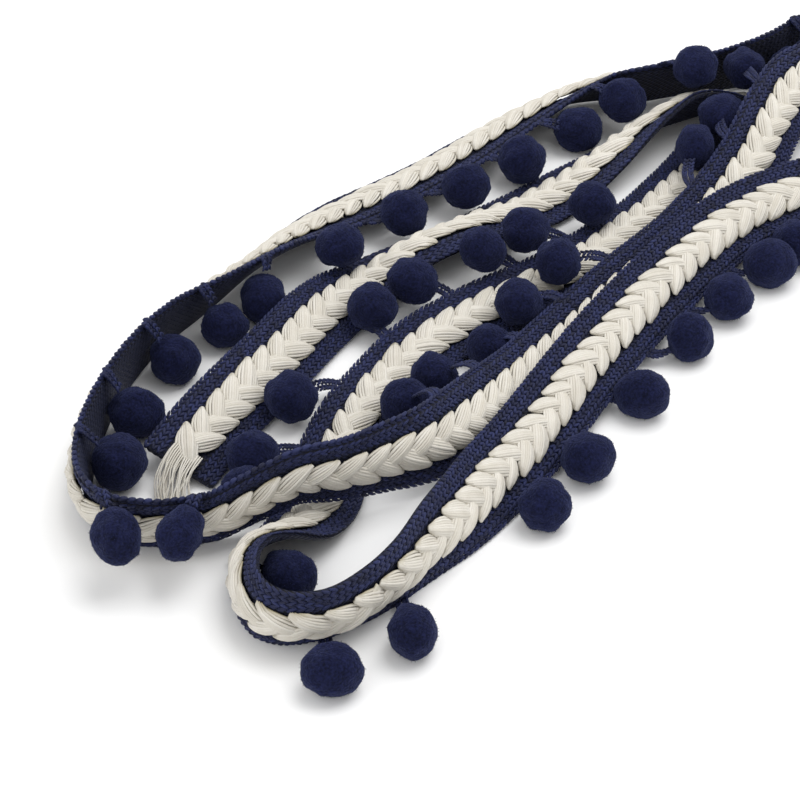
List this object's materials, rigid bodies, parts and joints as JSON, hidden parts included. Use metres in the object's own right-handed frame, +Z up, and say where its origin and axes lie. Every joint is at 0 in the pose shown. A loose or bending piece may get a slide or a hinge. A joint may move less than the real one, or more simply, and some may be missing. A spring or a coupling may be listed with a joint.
{
  "type": "pompom fringe trim",
  "caption": "Navy knitted trim, 22 mm wide, with a cream plaited braid on its face and navy pompoms along one edge, lying in loose folds.",
  "frame": {"origin": "centre of the bounding box, on the floor the trim lies on", "axes": "+Z up from the floor; the picture looks along +Y and down, and the folds run from the near left (-X, -Y) to the far right (+X, +Y)"},
  "size_m": [0.276, 0.3068, 0.029],
  "materials": {
    "navy_knit": "chain-knitted yarn, matt",
    "navy_pompom": "felted yarn, matt and slightly fuzzy",
    "cream_cotton": "plaited cotton yarns, soft sheen"
  },
  "bodies": {
    "root": {"ground_tape": "navy_knit", "cotton_braid": "cream_cotton", "end_yarns": "cream_cotton", "pompom_row_1": "navy_pompom", "pompom_row_2": "navy_pompom", "pompom_row_3": "navy_pompom", "pompom_row_4": "navy_pompom", "pompom_row_5": "navy_pompom", "pompom_row_6": "navy_pompom", "pompom_row_7": "navy_pompom", "pompom_row_8": "navy_pompom", "pompom_row_9": "navy_pompom", "pompom_row_10": "navy_pompom", "pompom_row_11": "navy_pompom", "pompom_row_12": "navy_pompom", "pompom_row_13": "navy_pompom", "pompom_row_14": "navy_pompom", "pompom_row_15": "navy_pompom", "pompom_row_16": "navy_pompom", "pompom_row_17": "navy_pompom", "pompom_row_18": "navy_pompom", "pompom_row_19": "navy_pompom", "pompom_row_20": "navy_pompom", "pompom_row_21": "navy_pompom", "pompom_row_22": "navy_pompom", "pompom_row_23": "navy_pompom", "pompom_row_24": "navy_pompom", "pompom_row_25": "navy_pompom", "pompom_row_26": "navy_pompom", "pompom_row_27": "navy_pompom", "pompom_row_28": "navy_pompom"}
  },
  "joints": []
}
